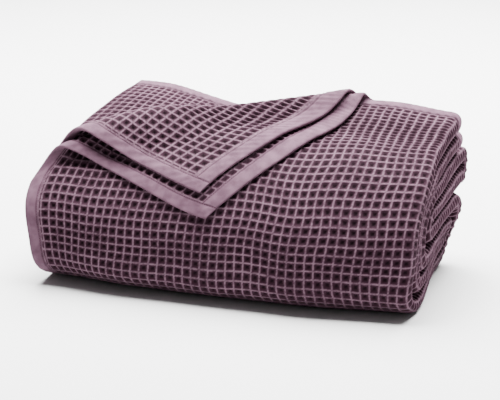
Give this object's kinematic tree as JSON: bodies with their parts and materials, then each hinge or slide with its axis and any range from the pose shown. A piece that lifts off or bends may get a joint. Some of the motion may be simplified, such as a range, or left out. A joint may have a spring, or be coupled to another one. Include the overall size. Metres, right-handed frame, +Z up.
{
  "type": "folded waffle weave blanket",
  "caption": "Square waffle weave cotton blanket with a sewn binding round its edges, folded into a long bundle with its top corners turned back.",
  "frame": {"origin": "middle of the folded bundle's outline, on the plane it rests on", "axes": "+X along the bundle from its bound left end to its folded right end, +Y from the rounded front to the back, +Z up"},
  "size_m": [0.5754, 0.4006, 0.2632],
  "materials": {
    "waffle_cloth": "matt mauve waffle weave cotton",
    "binding_tape": "matt mauve plain weave cotton tape"
  },
  "bodies": {
    "root": {"blanket_cloth": "waffle_cloth", "side_binding_under": "binding_tape", "side_binding_top": "binding_tape", "end_binding_top": "binding_tape", "end_binding_inner": "binding_tape"}
  },
  "joints": []
}
